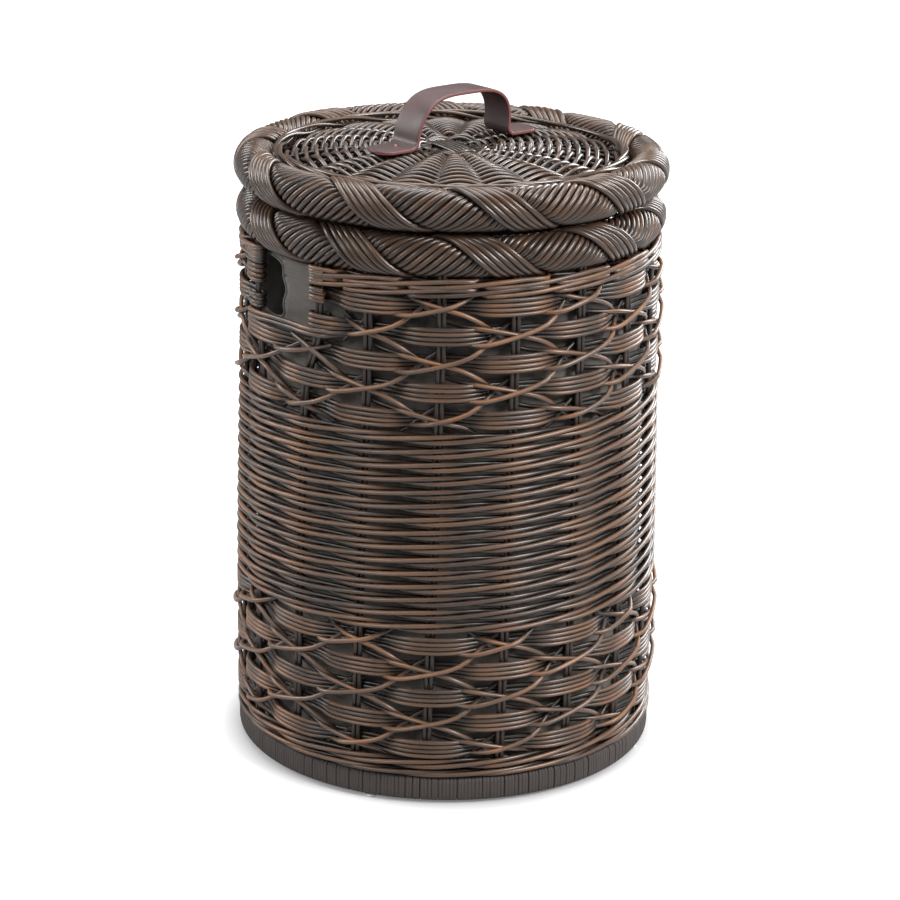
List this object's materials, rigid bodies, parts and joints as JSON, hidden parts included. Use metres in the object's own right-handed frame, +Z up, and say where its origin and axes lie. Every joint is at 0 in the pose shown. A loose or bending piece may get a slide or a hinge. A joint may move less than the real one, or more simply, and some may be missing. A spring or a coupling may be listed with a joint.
{
  "type": "laundry basket",
  "caption": "Round woven cane laundry basket with rolled borders, side hand holes, a cloth liner and a lift-off woven lid with a leather strap handle.",
  "frame": {"origin": "on the ground under the middle of the basket", "axes": "+Z up the basket's axis; X runs through the two hand holes"},
  "size_m": [0.4318, 0.4318, 0.672],
  "materials": {
    "woven_cane": "brown stained round cane, satin",
    "dark_cane": "dark stained cane, matt",
    "bare_cane": "stained pole cane, matt",
    "foot_peel": "flat cane peel closely wrapped, satin",
    "liner_cloth": "plain woven cotton",
    "leather": "smooth brown leather with raw cut edges",
    "rivet_metal": "dull antique",
    "clear_plastic": "clear soft plastic"
  },
  "bodies": {
    "basket": {"stake_pair_01": "dark_cane", "stake_pair_02": "dark_cane", "stake_pair_03": "dark_cane", "stake_pair_04": "dark_cane", "stake_pair_05": "dark_cane", "stake_pair_06": "dark_cane", "stake_pair_07": "dark_cane", "stake_pair_08": "dark_cane", "stake_pair_09": "dark_cane", "stake_pair_10": "dark_cane", "stake_pair_11": "dark_cane", "stake_pair_12": "dark_cane", "stake_pair_13": "dark_cane", "stake_pair_14": "dark_cane", "stake_pair_15": "dark_cane", "stake_pair_16": "dark_cane", "stake_pair_17": "dark_cane", "stake_pair_18": "dark_cane", "base_weave": "dark_cane", "lower_wale": "woven_cane", "lower_lattice_band": "woven_cane", "middle_wale": "woven_cane", "upper_lattice_band": "woven_cane", "upper_wale_rear": "woven_cane", "upper_wale_front": "woven_cane", "body_rim_braid": "woven_cane", "foot_hoop_core": "bare_cane", "base_bar_lower": "bare_cane", "base_bar_upper": "bare_cane", "body_rim_core": "bare_cane", "foot_hoop_wrap": "foot_peel", "liner_base": "liner_cloth", "liner_side": "liner_cloth", "foot_glide_1": "clear_plastic", "foot_glide_2": "clear_plastic", "foot_glide_3": "clear_plastic", "foot_glide_4": "clear_plastic"},
    "lid": {"lid_rim_braid": "woven_cane", "lid_rim_core": "bare_cane", "lid_weave": "woven_cane", "lid_locating_hoop": "bare_cane", "handle_strap": "leather", "handle_rivet_left": "rivet_metal", "handle_rivet_right": "rivet_metal", "lid_spoke_01": "dark_cane", "lid_spoke_02": "dark_cane", "lid_spoke_03": "dark_cane", "lid_spoke_04": "dark_cane", "lid_spoke_05": "dark_cane", "lid_spoke_06": "dark_cane", "lid_spoke_07": "dark_cane", "lid_spoke_08": "dark_cane", "lid_spoke_09": "dark_cane", "lid_spoke_10": "dark_cane"}
  },
  "joints": [
    {"name": "lid_lift", "type": "slide", "parent": "basket", "child": "lid", "axis": [0, 0, 1], "range_m": [0, 0.25]}
  ]
}
